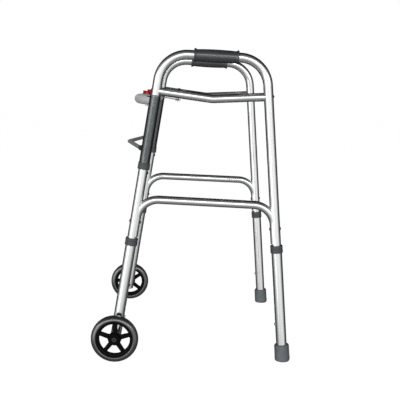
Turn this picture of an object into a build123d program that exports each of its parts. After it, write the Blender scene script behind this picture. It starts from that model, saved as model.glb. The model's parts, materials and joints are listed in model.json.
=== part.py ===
from build123d import *
import os
from math import atan2, cos, degrees, hypot, radians, sin, tan

# Folding walking frame with two front wheels and two rear rubber feet.
# +X is the user's left, +Y the open rear side, +Z up; the floor is Z = 0.
# All lengths in mm, all angles in degrees.
os.makedirs("parts", exist_ok=True)

# ---------------------------------------------------------------- main dimensions
HANDLE_HEIGHT = 811.9  # centre of the handle tube, legs at their shortest
HALF_WIDTH = 238.0  # from the middle of the frame to the handle's centre
HANDLE_Y = 48.9  # the handle's middle lies behind the middle of the footprint
LEG_GAP_TOP = 268.6  # between the leg axes, carried up to the handle's height
SPLAY = 6.89  # each leg leans away from the handle's middle, seen from the side
TILT = 2.13  # each side frame leans back
LEAN_OUT = 1.29  # each side frame leans out at the bottom
TOE_OUT = 1.47  # the rear of each side frame stands further out than the front

TUBE_R = 12.7
TUBE_WALL = 1.3
TUBE_END = 733.0  # length of a leg's main tube, from the handle's height
HANDLE_BEND_R = 76.0
BRACE_R = 11.1
BRACE_WALL = 1.2
UPPER_BRACE_S = 96.8  # where the upper brace meets the legs
UPPER_BRACE_DIP = 13.0  # its middle lies this much lower
UPPER_BRACE_BEND_R = 60.0
LOWER_BRACE_V = -380.5  # the lower brace's straight part, below the handle
LOWER_BRACE_BEND_R = 77.0
LOWER_BRACE_END = 485.0
SADDLE_INSET = 4.0  # axis of the lower brace's ends, inside the leg's axis
RIVET_S = 445.1
RIVET_R = 2.4
RIVET_HEAD_R = 4.6
RIVET_HEAD_H = 2.2

GRIP_R = 16.6
GRIP_LIP_R = 18.2
GRIP_LENGTH = 116.0
GRIP_BACK = 5.0

RUNNING = 0.08  # radial clearance of every sliding or turning fit
EXT_R = 14.3
EXT_TOP = 491.0
COLLAR_R = 16.6
COLLAR_TOP = 490.0
COLLAR_BOTTOM = 510.0
FRONT_EXT_END = 776.0
REAR_EXT_END = 802.0
HOLE_PITCH = 25.4
HOLE_COUNT = 7
BUTTON_S = 707.9
BUTTON_R = 3.6
BUTTON_TIP = 17.4

TIP_TOP = 765.0
TIP_FOOT = 809.7
TIP_R = 20.6

AXLE_S = 763.2
AXLE_R = 4.0
WHEEL_R = 63.5
TYRE_INNER_R = 49.3
TYRE_HALF_WIDTH = 12.0
RIM_INNER_R = 40.0
WHEEL_OUT = 31.4  # wheel's middle plane, out from the leg's axis
HUB_R = 14.0
BUSH_R = 7.0
SPOKES = 5
SPOKE_WIDTH = 11.0
RIGHT_WHEEL_TURN = 18.0  # the right wheel stands turned by this much

SLEEVE_R = 14.3
SLEEVE_TOP = 111.2
SLEEVE_BOTTOM = 304.0
SLEEVE_COLLAR_R = 15.9
SLEEVE_COLLAR_TOP = 286.0
STOP_RIVET_S = 312.0

BAR_R = 13.0
BAR_WALL = 1.6
BAR_Z = 697.0
BAR_APEX_Y = -207.0  # measured from the handle's middle
BUTTON_X = 184.0

LOW_BAR_R = 5.4
LOW_BAR_Z = 571.0
LOW_BAR_APEX_Y = -235.5
LOW_BAR_END = (221.0, -190.0)
LOW_BAR_BEND_R = 18.0
SOCKET_R = 7.2

PLATE_TOP = 108.2
PLATE_T = 2.5
TONGUE_TOP = 113.3
SLEEVE_CUT_R = 26.0         # where the upper crossbar ends, round the hinge sleeve
TONGUE_CUT_R = 20.5         # and round the tongue below it
TONGUE_R = 38.5
PEG_AT = 34.0
LATCH_TRAVEL = 4.0
SLOT_END = 45.0

# ---------------------------------------------------------------- frames of reference
lean = tan(radians(LEAN_OUT))
toe = tan(radians(TOE_OUT))
ct, st = cos(radians(TILT)), sin(radians(TILT))
cs, ss = cos(radians(SPLAY)), sin(radians(SPLAY))

# The left side frame's own plane: x runs back along the handle, y up, z outwards.
along = Vector(toe * ct + lean * st, ct, -st).normalized()
rising = Vector(toe * st - lean * ct, st, ct)
outward = along.cross(rising).normalized()
side = Plane((HALF_WIDTH, HANDLE_Y, HANDLE_HEIGHT), x_dir=along, z_dir=outward).location


def leg_point(end, s, inset=0.0):
    """The point s down a leg's axis in the side frame's plane (end -1 front, +1 rear)."""
    x = end * (LEG_GAP_TOP / 2 + s * ss - inset * cs)
    return Vector(x, -s * cs - inset * ss, 0)


# Each leg's own frame: z up the leg's axis, x towards the other leg of the same side.
front_leg = Plane(leg_point(-1, 0), x_dir=(cs, -ss, 0), z_dir=(ss, cs, 0)).location
rear_leg = Plane(leg_point(1, 0), x_dir=(-cs, -ss, 0), z_dir=(-ss, cs, 0)).location
LEGS = {"front": front_leg, "rear": rear_leg}


def rod(r, top, bottom):
    """A round bar on a leg's axis, from top to bottom, both measured down the leg."""
    return Pos(0, 0, -(top + bottom) / 2) * Cylinder(r, bottom - top)


def ring(r_out, r_in, top, bottom):
    return rod(r_out, top, bottom) - rod(r_in, top - 1, bottom + 1)


def across(r, x0, x1, s):
    """A round bar square to a leg's axis, along the leg frame's x, at s down the leg."""
    return Pos((x0 + x1) / 2, 0, -s) * Rot(0, 90, 0) * Cylinder(r, x1 - x0)


def pipe(path, r):
    """A solid round bar swept along a path."""
    return sweep(Plane(origin=path @ 0, z_dir=path % 0) * Circle(r), path)


def on_both_sides(name, shape, turned=None):
    """Exports a piece of the left side, and the mirror image of it, or of turned, for the right side."""
    shape.label = f"left_{name}"
    export_step(shape, f"parts/left_{name}.step")
    other = mirror(turned or shape, Plane.YZ)
    other.label = f"right_{name}"
    export_step(other, f"parts/right_{name}.step")


def dome(r, height):
    """A low round cap standing on the plane z = 0."""
    ball_r = (r**2 + height**2) / (2 * height)
    half_turn = atan2(r, ball_r - height) / 2
    middle = (ball_r * sin(half_turn), ball_r * cos(half_turn) - ball_r + height)
    outline = Line((0, 0), (r, 0)) + ThreePointArc((r, 0), middle, (0, height)) + Line((0, height), (0, 0))
    return revolve(Plane.XZ * make_face(outline), Axis.Z)


def group(*solids):
    return Compound(children=list(solids))


# ---------------------------------------------------------------- side tube, handle and legs
leg_path = FilletPolyline(
    leg_point(-1, TUBE_END),
    leg_point(-1, 0),
    leg_point(1, 0),
    leg_point(1, TUBE_END),
    radius=HANDLE_BEND_R,
)
side_tube = pipe(leg_path, TUBE_R) - pipe(leg_path, TUBE_R - TUBE_WALL)
for leg in LEGS.values():
    side_tube -= leg * across(BUTTON_R + RUNNING, 5, 15, BUTTON_S)

# ---------------------------------------------------------------- side braces
upper_path = FilletPolyline(
    leg_point(-1, UPPER_BRACE_S),
    (0, leg_point(-1, UPPER_BRACE_S).Y - UPPER_BRACE_DIP, 0),
    leg_point(1, UPPER_BRACE_S),
    radius=UPPER_BRACE_BEND_R,
)
upper_brace = pipe(upper_path, BRACE_R) - pipe(upper_path, BRACE_R - BRACE_WALL)

corner_s = (-LOWER_BRACE_V - SADDLE_INSET * ss) / cs
lower_path = FilletPolyline(
    leg_point(-1, LOWER_BRACE_END, SADDLE_INSET),
    leg_point(-1, corner_s, SADDLE_INSET),
    leg_point(1, corner_s, SADDLE_INSET),
    leg_point(1, LOWER_BRACE_END, SADDLE_INSET),
    radius=LOWER_BRACE_BEND_R,
)
lower_brace = pipe(lower_path, BRACE_R)
bore = pipe(lower_path, BRACE_R - BRACE_WALL)
for leg in LEGS.values():
    bore -= leg * rod(TUBE_R + 3.0, 300, 520)
lower_brace -= bore
for leg in LEGS.values():
    upper_brace -= leg * rod(TUBE_R, 50, 150)
    lower_brace -= leg * rod(TUBE_R, 300, 520)

# ---------------------------------------------------------------- rivets of the side frame
def rivet(s, inner, outer, r=RIVET_R):
    """A domed rivet through a leg, its heads at inner and outer from the leg's axis."""
    shank = across(r, -outer, inner, s)
    near = Pos(inner, 0, -s) * Rot(0, 90, 0) * rivet_head()
    far = Pos(-outer, 0, -s) * Rot(0, -90, 0) * rivet_head()
    return shank + near + far


def rivet_head():
    return dome(RIVET_HEAD_R, RIVET_HEAD_H)


saddle_skin = SADDLE_INSET + BRACE_R
rivets = []
for leg in LEGS.values():
    rivets.append(leg * rivet(RIVET_S, saddle_skin, TUBE_R))
    rivets.append(leg * (across(RIVET_R, -TUBE_R, -TUBE_R + 6, UPPER_BRACE_S)
                         + Pos(-TUBE_R, 0, -UPPER_BRACE_S) * Rot(0, -90, 0) * rivet_head()))
stop_head = Pos(TUBE_R, 0, -STOP_RIVET_S) * Rot(0, 90, 0) * rivet_head()
rivets.append(front_leg * (across(RIVET_R, TUBE_R - 3, TUBE_R, STOP_RIVET_S) + stop_head))
frame_rivets = group(*rivets)
for one in rivets:
    side_tube -= one
    lower_brace -= one

# ---------------------------------------------------------------- hand grip
grip_half = GRIP_LENGTH / 2
grip_profile = make_face(
    Polyline(
        (-grip_half, TUBE_R),
        (-grip_half, GRIP_LIP_R - 1.2),
        (-grip_half + 1.2, GRIP_LIP_R),
        (-grip_half + 4.5, GRIP_LIP_R),
        (-grip_half + 9.0, GRIP_R),
        (grip_half - 9.0, GRIP_R),
        (grip_half - 4.5, GRIP_LIP_R),
        (grip_half - 1.2, GRIP_LIP_R),
        (grip_half, GRIP_LIP_R - 1.2),
        (grip_half, TUBE_R),
        (-grip_half, TUBE_R),
    )
)
hand_grip = Pos(GRIP_BACK, 0, 0) * revolve(grip_profile, Axis.X)

# ---------------------------------------------------------------- hinge sleeve on the front leg
hinge_sleeve = ring(SLEEVE_R, TUBE_R + RUNNING, SLEEVE_TOP, SLEEVE_BOTTOM)
sleeve_collar = ring(SLEEVE_COLLAR_R, SLEEVE_R, SLEEVE_COLLAR_TOP, SLEEVE_BOTTOM)
sleeve_collar = chamfer(sleeve_collar.edges().filter_by(GeomType.CIRCLE).group_by(SortBy.RADIUS)[-1], 1.0)

# ---------------------------------------------------------------- upper crossbar
front_axis = side * front_leg


def axis_at_height(z):
    """Where the left front leg's axis crosses the height z."""
    top = front_axis.position
    low = (front_axis * Pos(0, 0, -800)).position
    return top + (low - top) * ((top.Z - z) / (top.Z - low.Z))


bar_end = axis_at_height(BAR_Z)
bar_path = ThreePointArc(
    (bar_end.X, bar_end.Y, BAR_Z),
    (0, HANDLE_Y + BAR_APEX_Y, BAR_Z),
    (-bar_end.X, bar_end.Y, BAR_Z),
)
bar_circle_y = bar_path.arc_center.Y
bar_circle_r = bar_path.radius
stem_y = bar_circle_y - (bar_circle_r**2 - BUTTON_X**2) ** 0.5

# The latch's own frame: on the front leg's axis, z up it, x towards the button's stem.
stem_in_leg = (front_axis.inverse() * Pos(BUTTON_X, stem_y, BAR_Z)).position
STEM_AT = hypot(stem_in_leg.X, stem_in_leg.Y)
STEM_S = -stem_in_leg.Z
latch_turn = degrees(atan2(stem_in_leg.Y, stem_in_leg.X))
latch = front_leg * Rot(0, 0, latch_turn)

tongue_bottom = TONGUE_TOP + PLATE_T


def slab(x0, x1, half_width, top, bottom):
    return Pos((x0 + x1) / 2, 0, -(top + bottom) / 2) * Box(x1 - x0, 2 * half_width, bottom - top)


# ---------------------------------------------------------------- lock plate under the upper brace
plate_bottom = PLATE_TOP + PLATE_T
lock_ring = rod(17.0, PLATE_TOP, plate_bottom)
lock_arm = Pos(0, -2.2, 0) * slab(0, 58, 5.8, PLATE_TOP, plate_bottom)
lock_arm += Pos(58, 0, 0) * rod(8.0, PLATE_TOP, plate_bottom)
tongue = slab(0, 19.0, 5.5, PLATE_TOP, plate_bottom)
tongue += slab(16.5, 19.0, 5.5, PLATE_TOP, tongue_bottom)
tongue += slab(16.5, TONGUE_R, 5.5, TONGUE_TOP, tongue_bottom)
notch = Pos(PEG_AT, 0, 0) * rod(2.4, TONGUE_TOP - 1, tongue_bottom + 1)
notch += Pos(PEG_AT - 0.3, -4, -TONGUE_TOP) * Box(5.4, 8, 8)
tongue -= notch
lock_plate = lock_ring + lock_arm + Rot(0, 0, latch_turn) * tongue
lock_plate -= rod(TUBE_R + 0.05, 100, 120)

PLATE_RIVET_X = 57.0
plate_rivet_top = UPPER_BRACE_S - BRACE_R - 1.6
plate_rivet = Pos(PLATE_RIVET_X, 0, 0) * rod(RIVET_R, plate_rivet_top, plate_bottom + 2.5)
plate_rivet += Pos(PLATE_RIVET_X, 0, -plate_rivet_top) * rivet_head()
plate_rivet += Pos(PLATE_RIVET_X, 0, 0) * rod(3.8, plate_bottom, plate_bottom + 3.0)
plate_rivet += Pos(PLATE_RIVET_X, 0, 0) * rod(4.2, UPPER_BRACE_S + BRACE_R - 2.4, PLATE_TOP)
lock_plate -= plate_rivet
upper_brace -= front_leg * plate_rivet

# ---------------------------------------------------------------- release button and its latch
stem = Pos(STEM_AT, 0, 0) * rod(2.5, STEM_S - 16.5, STEM_S + 15.0)
latch_pin = stem + slab(PEG_AT - 2.5, STEM_AT, 2.5, 118.6, 122.6)
latch_pin += Pos(PEG_AT, 0, 0) * rod(2.0, 112.3, 120.0)
latch_pin += Pos(STEM_AT, 0, 0) * rod(4.0, STEM_S + 13.9, STEM_S + 16.2)

cap = Pos(STEM_AT + 1, 1, -(STEM_S - 15.0)) * Box(28, 20.5, 16)
cap = fillet(cap.edges().filter_by(Axis.Z), 5.0)
cap &= slab(0, 90, 30, STEM_S - 23.0, STEM_S - 8.5)
pad = Pos(STEM_AT + 1, -4.0, -(STEM_S - 25.0)) * Box(22, 9.0, 5.0)
pad = fillet(pad.edges().filter_by(Axis.Z), 3.6)
cap += pad
cap = fillet(cap.faces().sort_by(Axis.Z)[-1].edges(), 1.2)
release_button = side * latch * cap - pipe(bar_path, BAR_R + LATCH_TRAVEL + 0.5)
release_button -= side * latch * stem

spring_top, spring_bottom = 122.9, STEM_S + BAR_R - BAR_WALL - 1.6
coil_path = Helix(pitch=(spring_bottom - spring_top - 0.8) / 5, height=spring_bottom - spring_top - 0.8, radius=4.0)
coil = sweep(Plane(origin=coil_path @ 0, z_dir=coil_path % 0) * Circle(0.4), coil_path, is_frenet=True)
latch_spring = Pos(STEM_AT, 0, -spring_bottom + 0.4) * coil

# ---------------------------------------------------------------- the bar with its slots and holes
upper_crossbar = pipe(bar_path, BAR_R) - pipe(bar_path, BAR_R - BAR_WALL)
swing = revolve(
    Plane.XZ * Pos((14 + TONGUE_R + 0.8) / 2, -(TONGUE_TOP + tongue_bottom) / 2)
    * Rectangle(TONGUE_R + 0.8 - 14, PLATE_T + 1.4),
    Axis.Z, revolution_arc=95,
)
slot = swing + slab(10, SLOT_END, 6.2, TONGUE_TOP - 0.7, tongue_bottom + 0.7)
cutters = [
    side * front_leg * rod(SLEEVE_R, 60, 200),
    side * front_leg * rod(SLEEVE_CUT_R, 60, SLEEVE_TOP + 0.6),
    side * front_leg * rod(TONGUE_CUT_R, 60, TONGUE_TOP),
    side * latch * slot,
    side * latch * Pos(STEM_AT, 0, 0) * rod(2.6, STEM_S - 20, STEM_S + 20),
]
for cutter in cutters:
    upper_crossbar -= cutter
    upper_crossbar -= mirror(cutter, Plane.YZ)

# ---------------------------------------------------------------- lower crossbar and its sockets
low_x, low_y = LOW_BAR_END
low_path = FilletPolyline(
    (low_x, HANDLE_Y + low_y, LOW_BAR_Z),
    (0, HANDLE_Y + LOW_BAR_APEX_Y - 1.0, LOW_BAR_Z),
    (-low_x, HANDLE_Y + low_y, LOW_BAR_Z),
    radius=LOW_BAR_BEND_R,
)
lower_crossbar = pipe(low_path, LOW_BAR_R)
socket_start = Vector(low_x, HANDLE_Y + low_y, LOW_BAR_Z)
socket_end = axis_at_height(LOW_BAR_Z)
bar_line = Vector(*(low_path % 0)).normalized()
socket_origin = socket_start + bar_line * 6.0
bar_socket = Plane(socket_origin, z_dir=socket_end - socket_origin).location * Pos(0, 0, 20) * Cylinder(SOCKET_R, 40)
bar_socket = fillet(bar_socket.edges().filter_by(GeomType.CIRCLE), 1.5)
bar_socket -= side * front_leg * rod(SLEEVE_R, 150, 280)
bar_socket = bar_socket.solids().sort_by(Axis.Y)[0]
bar_socket -= lower_crossbar

# ---------------------------------------------------------------- leg extensions
def extension(end_s):
    body = ring(EXT_R, TUBE_R + RUNNING, EXT_TOP, end_s)
    for k in range(HOLE_COUNT):
        body -= across(BUTTON_R + 0.3, 5, 20, BUTTON_S - k * HOLE_PITCH)
    return body


collar = ring(COLLAR_R, EXT_R, EXT_TOP, COLLAR_BOTTOM) + ring(COLLAR_R, TUBE_R + 0.3, COLLAR_TOP, EXT_TOP)
collar = fillet(collar.edges().filter_by(GeomType.CIRCLE).group_by(SortBy.RADIUS)[-1], 1.2)
front_extension = extension(FRONT_EXT_END)
rear_extension = extension(REAR_EXT_END)

end_cap = rod(TUBE_R, FRONT_EXT_END - 5, FRONT_EXT_END)
end_cap += Pos(0, 0, -FRONT_EXT_END) * Rot(180, 0, 0) * dome(EXT_R, 5.0)

tip_profile = make_face(
    Polyline(
        (0, -REAR_EXT_END),
        (EXT_R, -REAR_EXT_END),
        (EXT_R, -TIP_TOP),
        (EXT_R + 3.3, -TIP_TOP),
        (EXT_R + 4.7, -TIP_TOP - 1.4),
        (EXT_R + 5.2, -TIP_TOP - 4.0),
        (TIP_R - 0.7, -TIP_FOOT + 12.0),
        (TIP_R, -TIP_FOOT + 6.0),
        (TIP_R - 0.6, -TIP_FOOT + 2.5),
        (TIP_R - 3.0, -TIP_FOOT - 2.5),
        (0, -TIP_FOOT - 2.5),
        (0, -REAR_EXT_END),
    )
)
rear_tip = side * rear_leg * revolve(Plane.XZ * tip_profile, Axis.Z)
rear_tip &= Pos(0, 0, 200) * Box(1200, 1200, 400)

# ---------------------------------------------------------------- snap buttons and leaf springs
def snap_button(s):
    body = across(BUTTON_R, 9.0, BUTTON_TIP - 1.6, s)
    body += Pos(BUTTON_TIP - 1.6, 0, -s) * Rot(0, 90, 0) * dome(BUTTON_R, 1.6)
    return body + across(4.5, 9.0, 10.0, s)


leaf_line = FilletPolyline(
    (8.4, -BUTTON_S - 6),
    (8.4, -BUTTON_S + 8),
    (-0.5, -BUTTON_S + 42),
    (-9.6, -BUTTON_S + 8),
    (-9.6, -BUTTON_S - 14),
    radius=4.0,
)
leaf = extrude(Plane.XZ * trace(leaf_line, 0.8), amount=4.0, both=True)

# ---------------------------------------------------------------- front wheel on its axle
# The wheel's own frame: z out along the axle from the leg's axis, at the axle's height.
axle = side * Plane(leg_point(-1, AXLE_S), x_dir=(1, 0, 0), z_dir=(0, 0, 1)).location
SPACER_END = WHEEL_OUT - 11.0
HUB_FACE = WHEEL_OUT + 10.0


def spun(*points):
    """A solid turned about the axle from (radius, distance along the axle) points."""
    return revolve(Plane.XZ * make_face(Polyline(*points, points[0])), Axis.Z)


tw = TYRE_HALF_WIDTH
tyre = spun(
    (TYRE_INNER_R, WHEEL_OUT - 9.0),
    (TYRE_INNER_R + 1.0, WHEEL_OUT - tw + 1.0),
    (TYRE_INNER_R + 4.0, WHEEL_OUT - tw),
    (WHEEL_R - 4.5, WHEEL_OUT - tw),
    (WHEEL_R - 1.0, WHEEL_OUT - tw + 2.6),
    (WHEEL_R, WHEEL_OUT - tw + 6.0),
    (WHEEL_R, WHEEL_OUT + tw - 6.0),
    (WHEEL_R - 1.0, WHEEL_OUT + tw - 2.6),
    (WHEEL_R - 4.5, WHEEL_OUT + tw),
    (TYRE_INNER_R + 4.0, WHEEL_OUT + tw),
    (TYRE_INNER_R + 1.0, WHEEL_OUT + tw - 1.0),
    (TYRE_INNER_R, WHEEL_OUT + 9.0),
)
rim = spun(
    (TYRE_INNER_R, WHEEL_OUT - 9.0),
    (TYRE_INNER_R, WHEEL_OUT + 9.0),
    (RIM_INNER_R + 3.0, WHEEL_OUT + 9.0),
    (RIM_INNER_R, WHEEL_OUT + 5.0),
    (RIM_INNER_R, WHEEL_OUT - 5.0),
    (RIM_INNER_R + 3.0, WHEEL_OUT - 9.0),
)
barrel = Pos(0, 0, (SPACER_END + 0.4 + HUB_FACE) / 2) * Cylinder(HUB_R, HUB_FACE - SPACER_END - 0.4)
wheel_hub = rim + barrel
for k in range(SPOKES):
    spoke = Pos(0, (HUB_R + RIM_INNER_R) / 2, WHEEL_OUT) * Box(SPOKE_WIDTH, RIM_INNER_R - HUB_R + 6, 11)
    wheel_hub += Rot(0, 0, 360 / SPOKES * k) * spoke
wheel_hub -= Pos(0, 0, WHEEL_OUT) * Cylinder(BUSH_R, 60)
HEAD_SEAT = HUB_FACE - 3.5
bushings = Pos(0, 0, (SPACER_END + 0.4 + HEAD_SEAT - 0.4) / 2) * Cylinder(BUSH_R, HEAD_SEAT - SPACER_END - 0.8)
bushings -= Pos(0, 0, WHEEL_OUT) * Cylinder(AXLE_R + RUNNING, 60)
NUT_SEAT = -EXT_R
bolt = Pos(0, 0, (NUT_SEAT - 5 + HEAD_SEAT) / 2) * Cylinder(AXLE_R, HEAD_SEAT - NUT_SEAT + 5)
bolt += Pos(0, 0, HEAD_SEAT + 2.5) * Cylinder(6.2, 5)
bolt -= Pos(0, 0, HEAD_SEAT + 5) * extrude(RegularPolygon(2.6, 6), amount=4, both=True)
spacer = Pos(0, 0, (EXT_R - 3 + SPACER_END) / 2) * Cylinder(7.5, SPACER_END - EXT_R + 3)
spacer -= Pos(0, 0, 10) * Cylinder(AXLE_R, 60)
nut = Pos(0, 0, NUT_SEAT - 4.5) * extrude(RegularPolygon(7.0, 6), amount=4.5)
nut -= Pos(0, 0, NUT_SEAT) * Cylinder(AXLE_R, 60)
front_extension -= front_leg.inverse() * side.inverse() * axle * Cylinder(AXLE_R, 80)
wheel_spacer = axle * spacer - side * front_leg * rod(EXT_R, 700, FRONT_EXT_END)
wheel_spacer = wheel_spacer.solids().sort_by(Axis.X)[-1]

# ---------------------------------------------------------------- hand over the pieces
on_both_sides("side_tube", side * side_tube)
on_both_sides("upper_brace", side * upper_brace)
on_both_sides("lower_brace", side * lower_brace)
on_both_sides("hand_grip", side * hand_grip)
on_both_sides("frame_rivets", side * frame_rivets)
on_both_sides("lock_plate", side * front_leg * lock_plate)
on_both_sides("plate_rivet", side * front_leg * plate_rivet)
on_both_sides("hinge_sleeve", side * front_leg * hinge_sleeve)
on_both_sides("sleeve_collar", side * front_leg * sleeve_collar)
on_both_sides("bar_socket", bar_socket)
on_both_sides("release_button", release_button)
on_both_sides("latch_pin", side * latch * latch_pin)
on_both_sides("latch_spring", side * latch * latch_spring)
on_both_sides("front_extension", side * front_leg * front_extension)
on_both_sides("rear_extension", side * rear_leg * rear_extension)
on_both_sides("front_end_cap", side * front_leg * end_cap)
on_both_sides("rear_tip", rear_tip)
for name, leg in LEGS.items():
    on_both_sides(f"{name}_collar", side * leg * collar)
    on_both_sides(f"{name}_snap_button", side * leg * snap_button(BUTTON_S))
    on_both_sides(f"{name}_leaf_spring", side * leg * leaf)
on_both_sides("tyre", axle * tyre)
on_both_sides("wheel_hub", axle * wheel_hub, axle * Rot(0, 0, RIGHT_WHEEL_TURN) * wheel_hub)
on_both_sides("wheel_bushing", axle * bushings)
on_both_sides("axle_bolt", axle * bolt)
on_both_sides("axle_nut", axle * nut)
on_both_sides("wheel_spacer", wheel_spacer)
export_step(upper_crossbar, "parts/upper_crossbar.step")
export_step(lower_crossbar, "parts/lower_crossbar.step")
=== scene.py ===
import json
import math

import bmesh
import bpy
from mathutils import Matrix, Vector


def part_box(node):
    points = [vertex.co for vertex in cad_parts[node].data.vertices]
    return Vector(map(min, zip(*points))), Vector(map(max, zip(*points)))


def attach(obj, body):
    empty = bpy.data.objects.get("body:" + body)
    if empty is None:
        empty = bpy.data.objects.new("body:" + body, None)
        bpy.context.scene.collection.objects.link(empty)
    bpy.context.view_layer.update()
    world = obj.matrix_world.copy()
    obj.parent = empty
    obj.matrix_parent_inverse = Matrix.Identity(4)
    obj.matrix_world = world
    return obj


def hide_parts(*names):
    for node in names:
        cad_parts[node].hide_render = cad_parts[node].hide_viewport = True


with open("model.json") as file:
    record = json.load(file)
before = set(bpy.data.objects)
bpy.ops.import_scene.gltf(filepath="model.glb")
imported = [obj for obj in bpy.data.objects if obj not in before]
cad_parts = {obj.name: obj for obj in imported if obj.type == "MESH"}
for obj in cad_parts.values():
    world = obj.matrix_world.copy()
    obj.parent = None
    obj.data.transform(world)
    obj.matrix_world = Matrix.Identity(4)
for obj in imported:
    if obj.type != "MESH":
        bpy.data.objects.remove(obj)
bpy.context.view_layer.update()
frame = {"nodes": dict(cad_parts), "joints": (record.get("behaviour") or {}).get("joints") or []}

# A folding walking frame: satin aluminium tubes, dark grips, collars and hinge sleeves, black wheels.
# Everything is in metres, in the frame of the CAD model: +X the user's left, +Y the open rear side, +Z up.
MM = 0.001
JOINTS = {j["name"]: j for j in frame["joints"]}
SIDES = ("left", "right")
ENDS = ("front", "rear")

# ---------------------------------------------------------------- driving sizes
TUBE_R = 12.7 * MM
EXTENSION_R = 14.3 * MM
BRACE_R = 11.1 * MM
LOW_BAR_R = 5.4 * MM
HANDLE_BEND_R = 76 * MM
UPPER_BRACE_S = 96.8 * MM  # down the legs, from the handle's height
UPPER_BRACE_DIP = 13 * MM
UPPER_BRACE_BEND_R = 60 * MM
LOWER_BRACE_DROP = 380.5 * MM  # the straight part, below the handle
LOWER_BRACE_BEND_R = 77 * MM
LOWER_BRACE_END = 485 * MM
SADDLE_INSET = 4 * MM
TUBE_END = 733 * MM
TUBE_WALL = 1.3 * MM
BRACE_WALL = 1.2 * MM
SHARP_EDGE = math.radians(38)  # edges that turn more than this stay crisp


# ---------------------------------------------------------------- axes of the side frames, from the joints
def leg_up(side, end):
    """The direction up a leg."""
    return Vector(JOINTS[f"{side}_{end}_height"]["axis"]).normalized()


def middle(node):
    low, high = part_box(node)
    return (low + high) / 2


class SidePlane:
    """The plane of one side frame: x back along the handle, y up, from the middle between its legs."""

    def __init__(self, side):
        front, rear = leg_up(side, "front"), leg_up(side, "rear")
        self.back = (front - rear).normalized()
        self.up = (front + rear).normalized()
        self.splay = front.angle(rear) / 2
        grip = middle(f"{side}_hand_grip")
        gaps = []  # from the grip to each leg's axis, carried up to the handle's height
        for end, way in zip(ENDS, (-1, 1)):
            reach = middle(f"{side}_{end}_extension") - grip
            gaps.append(way * reach.dot(self.back) + reach.dot(self.up) * math.tan(self.splay))
        self.centre = grip + self.back * (gaps[1] - gaps[0]) / 2
        self.half_gap = (gaps[0] + gaps[1]) / 2

    def at(self, x, y):
        return self.centre + self.back * x + self.up * y

    def leg(self, end, s, inset=0.0):
        """The point s down a leg's axis; end is -1 for the front leg and +1 for the rear one."""
        x = end * (self.half_gap + s * math.sin(self.splay) - inset * math.cos(self.splay))
        return self.at(x, -s * math.cos(self.splay) - inset * math.sin(self.splay))


# ---------------------------------------------------------------- mesh helpers
def new_object(name, mesh, matrix=None):
    piece = bpy.data.objects.new(name, mesh)
    bpy.context.scene.collection.objects.link(piece)
    if matrix is not None:
        piece.matrix_world = matrix
    return piece


def frame_at(origin, axis, near=Vector((0, 0, 1))):
    """A matrix whose z lies along axis and whose y is as near as it can be to near."""
    z = axis.normalized()
    if abs(z.dot(near)) > 0.98:
        near = Vector((1, 0, 0))
    x = near.cross(z).normalized()
    y = z.cross(x)
    rotation = Matrix((x, y, z)).transposed().to_4x4()
    return Matrix.Translation(origin) @ rotation


def rounded(points, radii, step=math.radians(6)):
    """A polyline with each inner corner replaced by an arc; radii is one number, or one for each corner."""
    if isinstance(radii, (int, float)):
        radii = [radii] * (len(points) - 2)
    points = [Vector(p) for p in points]
    out = [points[0]]
    for before, corner, after, radius in zip(points, points[1:], points[2:], radii):
        a, b = (before - corner).normalized(), (after - corner).normalized()
        half = a.angle(b) / 2
        if radius <= 0 or half > math.radians(89.9):
            out.append(corner)
            continue
        shorter = min((before - corner).length, (after - corner).length)
        reach = min(radius / math.tan(half), 0.499 * shorter)
        radius = reach * math.tan(half)
        centre = corner + (a + b).normalized() * (radius / math.sin(half))
        start, stop = corner + a * reach - centre, corner + b * reach - centre
        turn = math.pi - 2 * half
        count = max(2, math.ceil(turn / step))
        for k in range(count + 1):
            t = k / count
            arm = start * math.sin((1 - t) * turn) + stop * math.sin(t * turn)
            out.append(centre + arm / math.sin(turn))
    out.append(points[-1])
    return out


def mesh_from(bm, name):
    """The finished mesh, with its faces turned outwards."""
    bmesh.ops.recalc_face_normals(bm, faces=bm.faces)
    mesh = bpy.data.meshes.new(name)
    bm.to_mesh(mesh)
    bm.free()
    return mesh


def shaded(mesh, values, sharp=SHARP_EDGE):
    """Smooth shading with crisp edges, and the place of each vertex for the materials."""
    grain(mesh, values)
    mesh.shade_smooth()
    mesh.set_sharp_from_angle(angle=sharp)


def grain(mesh, values):
    """Stores the straightened-out place of each vertex, for the materials."""
    layer = mesh.attributes.get("grain") or mesh.attributes.new("grain", "FLOAT_VECTOR", "POINT")
    layer.data.foreach_set("vector", [c for v in values for c in v])


def turned(profile, segments=96, closed=True):
    """A mesh turned about z from (radius, height) points; closed joins the last point to the first."""
    bm = bmesh.new()
    rows = []
    for r, h in profile:
        if r < 1e-7:
            rows.append([bm.verts.new((0, 0, h))])
            continue
        turns = [2 * math.pi * k / segments for k in range(segments)]
        rows.append([bm.verts.new((r * math.cos(t), r * math.sin(t), h)) for t in turns])
    pairs = list(zip(rows, rows[1:])) + ([(rows[-1], rows[0])] if closed else [])
    for low, high in pairs:
        for k in range(segments):
            n = (k + 1) % segments
            quad = [low[k % len(low)], low[n % len(low)], high[n % len(high)], high[k % len(high)]]
            corners = list(dict.fromkeys(quad))
            if len(corners) > 2:
                bm.faces.new(corners)
    return mesh_from(bm, "turned")


def lathe_in(name, matrix, profile, segments=96, closed=True):
    """A turned piece whose axis is the z of matrix."""
    mesh = turned(profile, segments, closed)
    mesh.name = name
    shaded(mesh, [v.co for v in mesh.vertices])
    return new_object(name, mesh, matrix)


def lathe(name, origin, axis, profile, segments=96, near=Vector((0, 0, 1)), closed=True):
    """A turned piece about an axis through origin."""
    return lathe_in(name, frame_at(origin, axis, near), profile, segments, closed)


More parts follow.
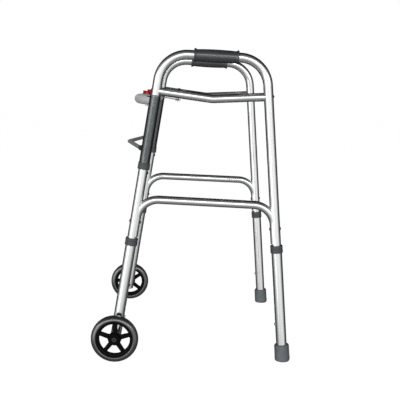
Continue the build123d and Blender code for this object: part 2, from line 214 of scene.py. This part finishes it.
def sweep(name, path, radius, wall=0.0, segments=48):
    """A round tube along a path in one plane, open at both ends when it has a wall."""
    tangents = []
    for k, point in enumerate(path):
        ahead = (path[min(k + 1, len(path) - 1)] - point).normalized()
        behind = (point - path[max(k - 1, 0)]).normalized()
        tangents.append((ahead + behind).normalized())
    normal = next(
        (n for n in (a.cross(b) for a, b in zip(tangents, tangents[1:])) if n.length > 1e-3),
        tangents[0].orthogonal(),
    ).normalized()
    bm = bmesh.new()
    places = []

    def bridge(a, b):
        for m in range(segments):
            n = (m + 1) % segments
            bm.faces.new((a[m], a[n], b[n], b[m]))

    def skin(r):
        rings, s = [], 0.0
        for k, (point, tangent) in enumerate(zip(path, tangents)):
            s += (point - path[k - 1]).length if k else 0.0
            across = normal.cross(tangent).normalized()
            ring = []
            for m in range(segments):
                t = 2 * math.pi * m / segments
                ring.append(bm.verts.new(point + (across * math.cos(t) + normal * math.sin(t)) * r))
                places.append((r * math.cos(t), r * math.sin(t), s))
            rings.append(ring)
        for a, b in zip(rings, rings[1:]):
            bridge(a, b)
        return rings

    outer = skin(radius)
    if wall:
        inner = skin(radius - wall)
        bridge(outer[0], inner[0])
        bridge(outer[-1], inner[-1])
    else:
        bm.faces.new(outer[0])
        bm.faces.new(outer[-1])
    mesh = mesh_from(bm, name)
    shaded(mesh, places)
    return new_object(name, mesh)


def smooth(points, steps=5):
    """A soft (Catmull-Rom) curve through (radius, height) points."""
    points = [Vector(p) for p in points]
    ends = [2 * points[0] - points[1], *points, 2 * points[-1] - points[-2]]
    out = []
    for a, b, c, d in zip(ends, ends[1:], ends[2:], ends[3:]):
        for k in range(steps):
            u = k / steps
            square = (2 * a - 5 * b + 4 * c - d) * u**2
            out.append(0.5 * (2 * b + (c - a) * u + square + (3 * b - a - 3 * c + d) * u**3))
    return out + [points[-1]]


def outline(points, radius):
    """A closed (radius, height) outline, given in millimetres, with every corner rounded."""
    start = (Vector(points[0]) + Vector(points[-1])) / 2
    corners = [Vector((*p, 0)) for p in (start, *points, start)]
    return [(p.x * MM, p.y * MM) for p in rounded(corners, radius, math.radians(18))[:-1]]


def plate(name, loops, thickness, bevel):
    """A flat plate with softened edges: the first loop is its outline, the others are windows."""
    curve = bpy.data.curves.new(name, "CURVE")
    curve.dimensions = "2D"
    curve.fill_mode = "BOTH"
    curve.extrude = thickness / 2 - bevel
    curve.bevel_depth = bevel
    curve.bevel_resolution = 2
    curve.offset = -bevel
    for loop in loops:
        spline = curve.splines.new("POLY")
        spline.points.add(len(loop) - 1)
        spline.use_cyclic_u = True
        for point, (x, y) in zip(spline.points, loop):
            point.co = (x, y, 0, 1)
    source = new_object(name + "_outline", curve)
    bpy.context.view_layer.update()
    solid = source.evaluated_get(bpy.context.evaluated_depsgraph_get())
    mesh = bpy.data.meshes.new_from_object(solid)
    bpy.data.objects.remove(source)
    bpy.data.curves.remove(curve)
    return mesh


def joined(name, meshes, matrix):
    """One piece from several meshes in the same local frame."""
    bm = bmesh.new()
    for mesh in meshes:
        bm.from_mesh(mesh)
    bmesh.ops.remove_doubles(bm, verts=bm.verts, dist=1e-6)
    mesh = mesh_from(bm, name)
    mesh.materials.clear()
    shaded(mesh, [v.co for v in mesh.vertices], math.radians(35))
    return new_object(name, mesh, matrix)


# ---------------------------------------------------------------- materials
class Shader:
    """A small helper that builds one procedural material."""

    def __init__(self, name, place="grain"):
        self.material = bpy.data.materials.new(name)
        self.material.use_nodes = True
        self.tree = self.material.node_tree
        self.bsdf = self.tree.nodes["Principled BSDF"]
        if place == "object":
            self.place = self.node("ShaderNodeTexCoord").outputs["Object"]
        else:
            source = self.node("ShaderNodeAttribute")
            source.attribute_name = "grain"
            self.place = source.outputs["Vector"]

    def node(self, kind, **settings):
        n = self.tree.nodes.new(kind)
        for key, value in settings.items():
            setattr(n, key, value)
        return n

    def link(self, a, b):
        self.tree.links.new(a, b)

    def set(self, **values):
        for key, value in values.items():
            self.bsdf.inputs[key.replace("_", " ")].default_value = value

    def stretched(self, axis, keep):
        """The place, with its length along axis shrunk to keep, so that noise runs in streaks along it."""
        along = self.node("ShaderNodeVectorMath", operation="DOT_PRODUCT")
        self.link(self.place, along.inputs[0])
        along.inputs[1].default_value = axis
        part = self.node("ShaderNodeVectorMath", operation="SCALE")
        part.inputs[0].default_value = axis
        self.link(along.outputs["Value"], part.inputs["Scale"])
        less = self.node("ShaderNodeVectorMath", operation="SCALE")
        self.link(part.outputs[0], less.inputs[0])
        less.inputs["Scale"].default_value = 1 - keep
        rest = self.node("ShaderNodeVectorMath", operation="SUBTRACT")
        self.link(self.place, rest.inputs[0])
        self.link(less.outputs[0], rest.inputs[1])
        return rest.outputs[0]

    def noise(self, scale, detail=3.0, rough=0.5, place=None):
        n = self.node("ShaderNodeTexNoise")
        n.inputs["Scale"].default_value = scale
        n.inputs["Detail"].default_value = detail
        n.inputs["Roughness"].default_value = rough
        self.link(place or self.place, n.inputs["Vector"])
        return n.outputs["Fac"]

    def cells(self, scale, feature="F1"):
        n = self.node("ShaderNodeTexVoronoi", feature=feature)
        n.inputs["Scale"].default_value = scale
        self.link(self.place, n.inputs["Vector"])
        return n.outputs["Distance"]

    def to_range(self, value, low, high, start=0.0, stop=1.0):
        n = self.node("ShaderNodeMapRange")
        self.link(value, n.inputs["Value"])
        n.inputs["From Min"].default_value = start
        n.inputs["From Max"].default_value = stop
        n.inputs["To Min"].default_value = low
        n.inputs["To Max"].default_value = high
        return n.outputs["Result"]

    def mix(self, factor, a, b):
        """A colour between a and b, each a colour or a socket."""
        n = self.node("ShaderNodeMix", data_type="RGBA")
        self.link(factor, n.inputs["Factor"])
        for socket, value in (("A", a), ("B", b)):
            target = next(i for i in n.inputs if i.name == socket and i.type == "RGBA")
            if hasattr(value, "is_linked"):
                self.link(value, target)
            else:
                target.default_value = (*value, 1)
        return next(o for o in n.outputs if o.type == "RGBA")

    def maths(self, operation, a, b):
        n = self.node("ShaderNodeMath", operation=operation)
        for socket, value in zip(n.inputs, (a, b)):
            if hasattr(value, "is_linked"):
                self.link(value, socket)
            else:
                socket.default_value = value
        return n.outputs[0]

    def bump(self, *layers):
        """Layers are (height socket, depth in metres), laid one on another."""
        normal = None
        for height, depth in layers:
            n = self.node("ShaderNodeBump")
            n.inputs["Strength"].default_value = 1.0
            n.inputs["Distance"].default_value = depth
            self.link(height, n.inputs["Height"])
            if normal is not None:
                self.link(normal, n.inputs["Normal"])
            normal = n.outputs["Normal"]
        self.link(normal, self.bsdf.inputs["Normal"])

    def colour(self, socket):
        self.link(socket, self.bsdf.inputs["Base Color"])

    def roughness(self, socket):
        self.link(socket, self.bsdf.inputs["Roughness"])


def aluminium(name, axis=(0, 0, 1), place="grain", bright=0.80, rough=0.17):
    """Satin anodised tube: fine drawn streaks along it, cloudy anodising and a few scuffs."""

    def shade(*levels):
        return [bright * level for level in levels]

    m = Shader(name, place)
    streaks = m.noise(1500, 2.0, 0.6, m.stretched(axis, 0.012))
    broad = m.noise(240, 2.0, 0.5, m.stretched(axis, 0.03))
    clouds = m.noise(22, 4.0, 0.6)
    scuffs = m.to_range(m.noise(160, 5.0, 0.72, m.stretched(axis, 0.4)), 0, 1, 0.64, 0.74)
    base = m.mix(clouds, shade(0.94, 0.95, 0.955), shade(1.04, 1.045, 1.05))
    base = m.mix(m.to_range(streaks, 0.0, 0.16, 0.3, 0.7), base, shade(0.7, 0.71, 0.72))
    m.colour(m.mix(m.maths("MULTIPLY", scuffs, 0.12), base, shade(0.66, 0.67, 0.68)))
    blend = m.maths("ADD", m.to_range(streaks, -0.05, 0.05), m.to_range(broad, -0.035, 0.035))
    blend = m.maths("ADD", blend, m.to_range(clouds, rough - 0.04, rough + 0.04))
    m.roughness(m.maths("ADD", blend, m.maths("MULTIPLY", scuffs, 0.12)))
    m.bump((streaks, 0.000008), (broad, 0.00001))
    m.set(Metallic=1.0)
    return m.material


def painted(name, colour, rough=0.42, metal=0.0):
    """Powder-painted steel: a fine orange peel, with dust and small chips."""
    m = Shader(name, "object")
    peel = m.noise(900, 2.0, 0.5)
    clouds = m.noise(35, 4.0, 0.6)
    specks = m.to_range(m.noise(520, 3.0, 0.7), 0, 1, 0.66, 0.72)
    base = m.mix(clouds, [c * 0.92 for c in colour], [c * 1.06 for c in colour])
    m.colour(m.mix(m.maths("MULTIPLY", specks, 0.25), base, [c * 0.55 for c in colour]))
    m.roughness(m.to_range(clouds, rough - 0.06, rough + 0.08))
    m.bump((peel, 0.00004))
    m.set(Metallic=metal, Coat_Weight=0.15, Coat_Roughness=0.3)
    return m.material


def sleeve_paint(name):
    """Dark textured coat of the hinge sleeves: mottled metallic grey with a coarse, glittering grain."""
    m = Shader(name, "object")
    coarse = m.cells(330)
    fine = m.noise(700, 3.0, 0.7)
    clouds = m.noise(60, 4.0, 0.65)
    base = m.mix(m.to_range(fine, 0, 1, 0.3, 0.7), (0.028, 0.033, 0.035), (0.22, 0.23, 0.235))
    m.colour(m.mix(m.to_range(clouds, 0.0, 0.5, 0.35, 0.7), base, (0.085, 0.090, 0.094)))
    m.roughness(m.to_range(fine, 0.17, 0.28, 0.25, 0.75))
    m.bump((coarse, 0.00010), (fine, 0.00006))
    m.set(Metallic=1.0)
    return m.material


def moulded(name, colour, rough=0.5, place="grain", gloss=0.35):
    """Moulded plastic: a fine spark-eroded grain, slightly uneven in colour, scuffed and dusty."""
    m = Shader(name, place)
    fine = m.noise(2200, 3.0, 0.65)
    clouds = m.noise(45, 4.0, 0.6)
    dust = m.to_range(m.noise(420, 4.0, 0.75), 0, 1, 0.62, 0.75)
    base = m.mix(clouds, [c * 0.85 for c in colour], [c * 1.15 for c in colour])
    m.colour(m.mix(m.maths("MULTIPLY", dust, 0.14), base, [min(1, c * 1.8 + 0.02) for c in colour]))
    uneven = m.to_range(clouds, rough - 0.06, rough + 0.06)
    m.roughness(m.maths("ADD", uneven, m.to_range(fine, -0.05, 0.05)))
    m.bump((fine, 0.00004))
    m.set(Specular_IOR_Level=gloss)
    return m.material


def vinyl(name, colour):
    """Soft plain vinyl of the grips: pebbled skin with painted shade in the pebbles' sunken centres, and a
    dull sheen where hands polish it.
    """
    m = Shader(name)
    pebbles = m.cells(900, feature="SMOOTH_F1")
    fine = m.noise(2600, 2.0, 0.6)
    worn = m.noise(38, 4.0, 0.6)
    base = m.mix(worn, [c * 0.8 for c in colour], [c * 1.25 for c in colour])
    # The pebbles' sunken centres are painted darker: painted shade in the dimples.
    m.colour(m.mix(m.to_range(pebbles, 0.22, 0.0, 0.1, 0.6), base, [c * 0.4 for c in colour]))
    m.roughness(m.to_range(worn, 0.19, 0.31, 0.3, 0.7))
    m.bump((pebbles, 0.00012), (fine, 0.00003))
    m.set(Specular_IOR_Level=1.0)
    return m.material


def rubber(name, colour, rough=0.62, gloss=0.7, coat=0.0):
    """Rubber: matt and slightly chalky, with a faint bloom and fine pores."""
    m = Shader(name)
    pores = m.noise(1700, 4.0, 0.7)
    bloom = m.noise(30, 5.0, 0.65)
    base = m.mix(m.to_range(bloom, 0, 1, 0.3, 0.7), [c * 0.82 for c in colour], [c * 1.22 for c in colour])
    m.colour(m.mix(m.to_range(pores, 0.0, 0.35, 0.5, 0.8), base, [c * 0.6 for c in colour]))
    m.roughness(m.to_range(bloom, rough - 0.07, rough + 0.07))
    m.bump((pores, 0.00005))
    m.set(Specular_IOR_Level=gloss, Coat_Weight=coat, Coat_Roughness=0.12)
    return m.material


def bare_steel(name, shade, rough=0.32):
    """Zinc-plated, blackened or bright steel of rivets, bolts, springs and snap buttons."""
    m = Shader(name, "object")
    plating = m.noise(300, 4.0, 0.65)
    fine = m.noise(2400, 2.0, 0.6)
    dull = [shade * level for level in (0.86, 0.87, 0.9)]
    m.colour(m.mix(plating, dull, [shade * level for level in (1.08, 1.09, 1.1)]))
    uneven = m.to_range(plating, rough - 0.08, rough + 0.1)
    m.roughness(m.maths("ADD", uneven, m.to_range(fine, -0.04, 0.04)))
    m.bump((fine, 0.00002))
    m.set(Metallic=1.0)
    return m.material


FINISH = {
    "grip_vinyl": vinyl("grip_vinyl", (0.030, 0.035, 0.037)),
    "collar_plastic": moulded("collar_plastic", (0.066, 0.073, 0.077)),
    "collar_object": moulded("collar_object", (0.034, 0.039, 0.041), place="object"),
    "hub_plastic": moulded("hub_plastic", (0.003, 0.003, 0.0035), rough=0.45, gloss=0.06),
    "button_red": moulded("button_red", (0.40, 0.004, 0.009), rough=0.40, place="object"),
    "tip_rubber": rubber("tip_rubber", (0.098, 0.116, 0.124)),
    "tyre_rubber": rubber("tyre_rubber", (0.014, 0.016, 0.017), rough=0.17, gloss=1.0, coat=0.9),
    "sleeve_grey": sleeve_paint("sleeve_grey"),
    "crossbar_grey": painted("crossbar_grey", (0.82, 0.84, 0.845), 0.46, 0.25),
    "lower_bar_grey": painted("lower_bar_grey", (0.46, 0.475, 0.48), 0.48, 0.5),
    "dark_steel": painted("dark_steel", (0.050, 0.053, 0.055)),
    "rivet_steel": bare_steel("rivet_steel", 0.42),
    "black_bolt": bare_steel("black_bolt", 0.06, 0.30),
    "spring_steel": bare_steel("spring_steel", 0.50, 0.28),
    "anodised_tube": aluminium("anodised_tube"),
}


def paint(piece, material):
    piece.data.materials.clear()
    piece.data.materials.append(material)


def dress(piece, body, slot, *nodes):
    """Gives a new piece the finish listed under slot, puts it on its body, and hides the CAD nodes it
    stands for.
    """
    paint(piece, FINISH[slot])
    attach(piece, body)
    if nodes:
        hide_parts(*nodes)


# ---------------------------------------------------------------- tubes of the side frames
def side_tubes(side, plane):
    body = f"{side}_side_frame"
    corners = [plane.leg(-1, TUBE_END), plane.leg(-1, 0), plane.leg(1, 0), plane.leg(1, TUBE_END)]
    path = rounded(corners, HANDLE_BEND_R, math.radians(3))
    tube = sweep(f"{side}_bent_tube", path, TUBE_R, TUBE_WALL, 64)
    dress(tube, body, "anodised_tube", f"{side}_side_tube")

    ends = [plane.leg(end, UPPER_BRACE_S) for end in (-1, 1)]
    dip = (ends[0] + ends[1]) / 2 - plane.up * UPPER_BRACE_DIP
    path = rounded([ends[0], dip, ends[1]], UPPER_BRACE_BEND_R, math.radians(2))
    brace = sweep(f"{side}_upper_tube", path, BRACE_R, BRACE_WALL)
    dress(brace, body, "anodised_tube", f"{side}_upper_brace")

    corner_s = (LOWER_BRACE_DROP - SADDLE_INSET * math.sin(plane.splay)) / math.cos(plane.splay)
    corners = [
        plane.leg(-1, LOWER_BRACE_END, SADDLE_INSET),
        plane.leg(-1, corner_s, SADDLE_INSET),
        plane.leg(1, corner_s, SADDLE_INSET),
        plane.leg(1, LOWER_BRACE_END, SADDLE_INSET),
    ]
    path = rounded(corners, LOWER_BRACE_BEND_R, math.radians(3))
    brace = sweep(f"{side}_lower_tube", path, BRACE_R, BRACE_WALL)
    dress(brace, body, "anodised_tube", f"{side}_lower_brace")


# ---------------------------------------------------------------- grips, collars and rubber feet
# Their outlines are in millimetres.
def hand_grip(side, plane):
    """A vinyl sleeve: rolled lips, narrow necks and a slight swell for the palm."""
    half = [(16.95, 0), (16.8, 18), (16.35, 34), (15.75, 45), (15.65, 49.5), (16.5, 52.4),
            (17.7, 54.2), (18.1, 55.8)]
    skin = [(r, -h) for r, h in reversed(half[1:])] + half
    edge = [(17.9, 57.2), (17.0, 58.0), (15.0, 58.0), (13.0, 57.6)]
    profile = [(r, -h) for r, h in reversed(edge)]
    profile += smooth(skin)
    profile += edge
    profile = [(12.75, -56.5), *profile, (12.75, 56.5)]
    scaled = [(p[0] * MM, p[1] * MM) for p in profile]
    place = middle(f"{side}_hand_grip")
    grip = lathe(f"{side}_grip", place, plane.back, scaled, 112, plane.up)
    dress(grip, f"{side}_side_frame", "grip_vinyl", f"{side}_hand_grip")


def leg_ring(name, plane, end, points, radius):
    """A piece turned about a leg's axis from (radius, distance down the leg) points."""
    up = (plane.leg(end, 0) - plane.leg(end, 1)).normalized()
    profile = [(r, -s) for r, s in outline(points, radius)]
    return lathe(name, plane.leg(end, 0), up, profile)


def collars(side, plane):
    """The clamping collars at the tops of the extensions, and the one under the hinge sleeve."""
    ring = [(13.1, 490), (16.5, 490), (16.6, 497.2), (16.05, 497.9), (16.05, 499.1), (16.6, 499.8),
            (16.6, 510), (14.36, 510), (14.36, 491.4), (13.1, 491.4)]
    for name, end in zip(ENDS, (-1, 1)):
        piece = leg_ring(f"{side}_{name}_ring", plane, end, ring, 0.7)
        dress(piece, f"{side}_{name}_extension", "collar_plastic", f"{side}_{name}_collar")
    ring = [(14.32, 286), (15.7, 286), (15.9, 289.0), (15.4, 289.7), (15.4, 290.8), (15.9, 291.5),
            (15.9, 304), (14.32, 304)]
    piece = leg_ring(f"{side}_sleeve_ring", plane, -1, ring, 0.6)
    dress(piece, "front_brace", "collar_plastic", f"{side}_sleeve_collar")


FOOT_HEEL, FOOT_SOLE = 803, 812.3  # down the leg; the heel is cut level with the floor
FOOT_GROOVES = ((6.7, 8.9), (13.1, 15.3))  # inner and outer radius of each groove
GROOVE_DEPTH = 1.6


def rear_foot(side, plane):
    """A rubber ferrule: a beaded mouth, a tapering body, a bulging heel and two grooves under it."""
    up = leg_up(side, "rear")
    body = smooth([(18.6, 765.8), (19.8, 767.6), (20.2, 770.5), (20.15, 774), (20.2, 786), (20.35, 797.5),
                   (20.6, 802.2), (20.6, 805.5), (20.0, 808.4), (18.2, 811.8)], 4)
    sole = [(r, FOOT_SOLE) for r in (15.6, 15.0, 13.4, 12.8, 9.2, 8.6, 7.0, 6.4, 0)]
    mouth = [(0, 802), (14.35, 802), (14.35, 765.9), (14.9, 765.1), (17.2, 765.1)]
    profile = [(r * MM, -s * MM) for r, s in (*mouth, *body, *sole)]
    foot = lathe(f"{side}_ferrule", plane.leg(1, 0), up, profile, 96, closed=False)
    for v in foot.data.vertices:
        if v.co.z > -FOOT_HEEL * MM:
            continue
        r = math.hypot(v.co.x, v.co.y) / MM
        groove = any(low < r < high for low, high in FOOT_GROOVES)
        place = foot.matrix_world @ v.co
        place.z = max(place.z, GROOVE_DEPTH * MM if groove else 0.0)
        v.co = foot.matrix_world.inverted() @ place
    grain(foot.data, [v.co for v in foot.data.vertices])
    dress(foot, f"{side}_rear_extension", "tip_rubber", f"{side}_rear_tip")


# ---------------------------------------------------------------- front wheels, in millimetres
WHEEL_R = 63.5
RIM_R = 49.3
WINDOW_R = 41.6  # outer end of the openings between the spokes
WINDOW_INNER_R = 18.4
HUB_R = 15.6
SPOKES = 5
SPOKE_HALF = 5.5  # half a spoke's width
RIB_HALF = 1.8
WEB_T = 7.4
RIB_T = 10.6
WHEEL_TURN = {"left": 0.0, "right": math.radians(-18)}  # how each wheel happens to stand


def tyre(side, matrix):
    """A solid tyre: a flat tread with two fine grooves and full, rounded walls down to the rim."""
    half = [(WHEEL_R, 0), (WHEEL_R, 2.6), (62.95, 3.1), (62.95, 3.7), (63.2, 4.3), (62.4, 6.2), (61.0, 8.0),
            (59.2, 9.6), (57.0, 10.9), (54.6, 11.7), (52.4, 12.0), (50.9, 11.7), (50.0, 10.9), (49.5, 9.6),
            (RIM_R, 7.5), (48.6, 6.2)]
    profile = [(r, h) for r, h in smooth(half, 4)]
    profile = [(r, -h) for r, h in reversed(profile[1:])] + profile
    piece = lathe_in(f"{side}_tyre_tread", matrix, [(r * MM, h * MM) for r, h in profile], 144)
    dress(piece, f"{side}_wheel", "tyre_rubber", f"{side}_tyre")


def window(k):
    """The opening between two spokes, as a closed loop with rounded corners."""
    inner, outer = WINDOW_INNER_R, WINDOW_R
    start = 2 * math.pi * k / SPOKES
    near, far = math.asin((SPOKE_HALF + 0.6) / inner), math.asin(SPOKE_HALF / outer)
    pitch = 2 * math.pi / SPOKES
    arc_out = [(outer, start + far + (pitch - 2 * far) * m / 7) for m in range(8)]
    arc_in = [(inner, start + near + (pitch - 2 * near) * m / 2) for m in (2, 1, 0)]
    polar = arc_out + arc_in
    points = [Vector((r * math.sin(a), r * math.cos(a), 0)) for r, a in polar]
    first = (points[0] + points[-1]) / 2
    radii = [3.4] + [0] * 6 + [3.4] + [2.4, 0, 2.4]
    loop = rounded([first, *points, first], radii, math.radians(12))[:-1]
    return [(p.x * MM, p.y * MM) for p in loop]


def circle(r, count=96):
    turns = [2 * math.pi * m / count for m in range(count)]
    return [(r * MM * math.cos(t), r * MM * math.sin(t)) for t in turns]


def hub(side, matrix):
    """A moulded wheel: a deep rim, a web with five windows, a rib along each spoke and a stepped barrel."""
    rim = outline([(RIM_R, -7), (RIM_R, 7), (46.6, 7.4), (43.4, 6.8), (WINDOW_R - 0.4, 4.6),
                   (WINDOW_R - 0.4, -4.6), (43.4, -6.8), (46.6, -7.4)], 0.5)
    barrel = outline([(7.05, -10.5), (HUB_R - 1.5, -10.5), (HUB_R, -8.5), (HUB_R, 8.4), (HUB_R - 1.0, 10.0),
                      (11.6, 10.0), (11.0, 9.0), (8.9, 9.0), (8.4, 10.0), (7.05, 10.0)], 0.35)
    openings = [window(k)[::-1] for k in range(SPOKES)]
    web = plate("web", [circle(WINDOW_R + 2), *openings], WEB_T * MM, 0.9 * MM)
    parts = [turned(rim, 120), turned(barrel, 72), web]
    for k in range(SPOKES):
        turn = Matrix.Rotation(-2 * math.pi * k / SPOKES, 4, "Z")
        low, high = 12, WINDOW_R + 2
        strip = [(-RIB_HALF, low), (RIB_HALF, low), (RIB_HALF, high), (-RIB_HALF, high)]
        rib = plate("rib", [[(x * MM, y * MM) for x, y in strip]], RIB_T * MM, 0.6 * MM)
        rib.transform(turn)
        parts.append(rib)
    standing = matrix @ Matrix.Rotation(WHEEL_TURN[side], 4, "Z")
    piece = joined(f"{side}_spoked_hub", parts, standing)
    dress(piece, f"{side}_wheel", "hub_plastic", f"{side}_wheel_hub")


def wheels(side, plane):
    spin = JOINTS[f"{side}_wheel_spin"]
    matrix = frame_at(Vector(spin["pos_m"]), Vector(spin["axis"]), plane.up)
    tyre(side, matrix)
    hub(side, matrix)


# ---------------------------------------------------------------- carried-over CAD nodes
def carried_over(side):
    """Finishes for the CAD nodes that keep their own shape."""
    for end in ENDS:
        axis = tuple(leg_up(side, end))
        metal = aluminium(f"{side}_{end}_anodised", axis, "object", bright=0.82, rough=0.19)
        paint(frame["nodes"][f"{side}_{end}_extension"], metal)
        paint(frame["nodes"][f"{side}_{end}_snap_button"], FINISH["spring_steel"])
        paint(frame["nodes"][f"{side}_{end}_leaf_spring"], FINISH["spring_steel"])
    for name, finish in (
        ("frame_rivets", "rivet_steel"),
        ("lock_plate", "dark_steel"),
        ("plate_rivet", "rivet_steel"),
        ("hinge_sleeve", "sleeve_grey"),
        ("bar_socket", "collar_object"),
        ("latch_spring", "spring_steel"),
        ("front_end_cap", "collar_object"),
        ("axle_bolt", "black_bolt"),
        ("axle_nut", "rivet_steel"),
        ("wheel_spacer", "collar_object"),
        ("wheel_bushing", "collar_object"),
        ("release_button", "button_red"),
        ("latch_pin", "spring_steel"),
    ):
        paint(frame["nodes"][f"{side}_{name}"], FINISH[finish])


for side in SIDES:
    side_plane = SidePlane(side)
    side_tubes(side, side_plane)
    hand_grip(side, side_plane)
    collars(side, side_plane)
    rear_foot(side, side_plane)
    wheels(side, side_plane)
    carried_over(side)
paint(frame["nodes"]["upper_crossbar"], FINISH["crossbar_grey"])
paint(frame["nodes"]["lower_crossbar"], FINISH["lower_bar_grey"])


# ---------------------------------------------------------------- floor, light and camera
FLOOR_R = 14
EYE = (2.06783, -0.03472, 0.73812)
LENS = 62.77  # millimetres, on a 36 mm sensor
YAW, PITCH, ROLL = 0.0286, 0.1634, 0.0175  # radians
AIM = (0, 0, 0.4)  # the lamps point at the middle of the frame


def stage():
    """A pale floor that lights nothing, so that its reflection never shows in the tubes."""
    mesh = bpy.data.meshes.new("floor")
    bm = bmesh.new()
    bmesh.ops.create_circle(bm, cap_ends=True, segments=96, radius=FLOOR_R)
    bm.to_mesh(mesh)
    bm.free()
    floor = new_object("floor", mesh)
    floor.visible_glossy = False
    floor.visible_diffuse = False
    m = Shader("studio_floor", "object")
    m.colour(m.mix(m.noise(3, 2), (0.13, 0.13, 0.13), (0.16, 0.16, 0.16)))
    m.set(Roughness=0.9, Specular_IOR_Level=0.0)
    m.set(Emission_Color=(1, 1, 1, 1), Emission_Strength=0.96)
    paint(floor, m.material)


def studio_world():
    """A dim studio: a wide, low band of light and lamps on the left of the user, over a pale ground.

    The tubes reflect it; the camera itself sees plain white behind the frame.
    """
    world = bpy.data.worlds.new("studio")
    world.use_nodes = True
    tree = world.node_tree
    nodes, links = tree.nodes, tree.links
    back = nodes["Background"]
    place = nodes.new("ShaderNodeTexCoord")

    def ramp(direction, start, stop, low, high):
        """Light that goes from low to high as the view turns towards direction."""
        dot = nodes.new("ShaderNodeVectorMath")
        dot.operation = "DOT_PRODUCT"
        links.new(place.outputs["Generated"], dot.inputs[0])
        dot.inputs[1].default_value = direction
        n = nodes.new("ShaderNodeMapRange")
        n.interpolation_type = "SMOOTHSTEP"
        links.new(dot.outputs["Value"], n.inputs["Value"])
        for key, value in (("From Min", start), ("From Max", stop), ("To Min", low), ("To Max", high)):
            n.inputs[key].default_value = value
        return n.outputs["Result"]

    def combined(operation, a, b):
        n = nodes.new("ShaderNodeMath")
        n.operation = operation
        links.new(a, n.inputs[0])
        links.new(b, n.inputs[1])
        return n.outputs[0]

    across = ramp((1, -0.17, 0), -0.25, 0.78, 0.06, 1.08)
    over = ramp((0, 0, 1), 0.10, 0.85, 1.0, 0.18)
    ground = ramp((1, 0, 0), -0.3, 0.9, 0.07, 0.36)
    below = ramp((0, 0, 1), -0.58, -0.16, 1.0, 0.0)
    above = ramp((0, 0, 1), -0.58, -0.16, 0.0, 1.0)
    upper = combined("MULTIPLY", combined("MULTIPLY", across, over), above)
    strip_foot = ramp((0, 0, 1), 0.12, 0.19, 0.0, 4.0)
    strip_head = ramp((0, 0, 1), 0.26, 0.35, 1.0, 0.0)
    lamps = combined("MULTIPLY", strip_foot, strip_head)
    lamps = combined("MULTIPLY", lamps, ramp((1, -0.14, 0), 0.45, 0.8, 0.0, 1.0))
    lamps = combined("ADD", lamps, ramp((0.763, -0.64, -0.087), 0.962, 0.993, 0.0, 1.9))
    room = combined("ADD", combined("ADD", upper, lamps), combined("MULTIPLY", ground, below))
    seen = nodes.new("ShaderNodeLightPath")
    strength = nodes.new("ShaderNodeMix")
    links.new(seen.outputs["Is Camera Ray"], strength.inputs["Factor"])
    links.new(room, strength.inputs["A"])
    strength.inputs["B"].default_value = 1.0
    links.new(strength.outputs["Result"], back.inputs["Strength"])
    back.inputs["Color"].default_value = (1, 1, 1, 1)
    bpy.context.scene.world = world


def softbox(name, place, size, energy):
    """A square lamp aimed at the frame; it is not itself reflected."""
    data = bpy.data.lights.new(name, "AREA")
    data.shape = "RECTANGLE"
    data.size = data.size_y = size
    data.energy = energy
    lamp = bpy.data.objects.new(name, data)
    bpy.context.scene.collection.objects.link(lamp)
    lamp.location = place
    lamp.visible_glossy = False
    lamp.rotation_euler = (Vector(AIM) - Vector(place)).to_track_quat("-Z", "Y").to_euler()


def camera():
    """The camera stands on the user's left, a little above the handles."""
    data = bpy.data.cameras.new("camera")
    data.sensor_width = 36
    data.lens = LENS
    level = Vector((-math.cos(YAW), math.sin(YAW), 0))
    forward = level * math.cos(PITCH) - Vector((0, 0, math.sin(PITCH)))
    right = forward.cross(Vector((0, 0, 1))).normalized()
    up = right.cross(forward)
    x = right * math.cos(ROLL) + up * math.sin(ROLL)
    y = up * math.cos(ROLL) - right * math.sin(ROLL)
    cam = bpy.data.objects.new("camera", data)
    bpy.context.scene.collection.objects.link(cam)
    cam.matrix_world = Matrix.Translation(EYE) @ Matrix((x, y, -forward)).transposed().to_4x4()
    bpy.context.scene.camera = cam


stage()
studio_world()
softbox("key", (2.4, -1.8, 2.6), 1.4, 17)
softbox("top", (0.2, 0.1, 3.2), 2.4, 14)
camera()
bpy.context.scene.view_settings.view_transform = "Standard"
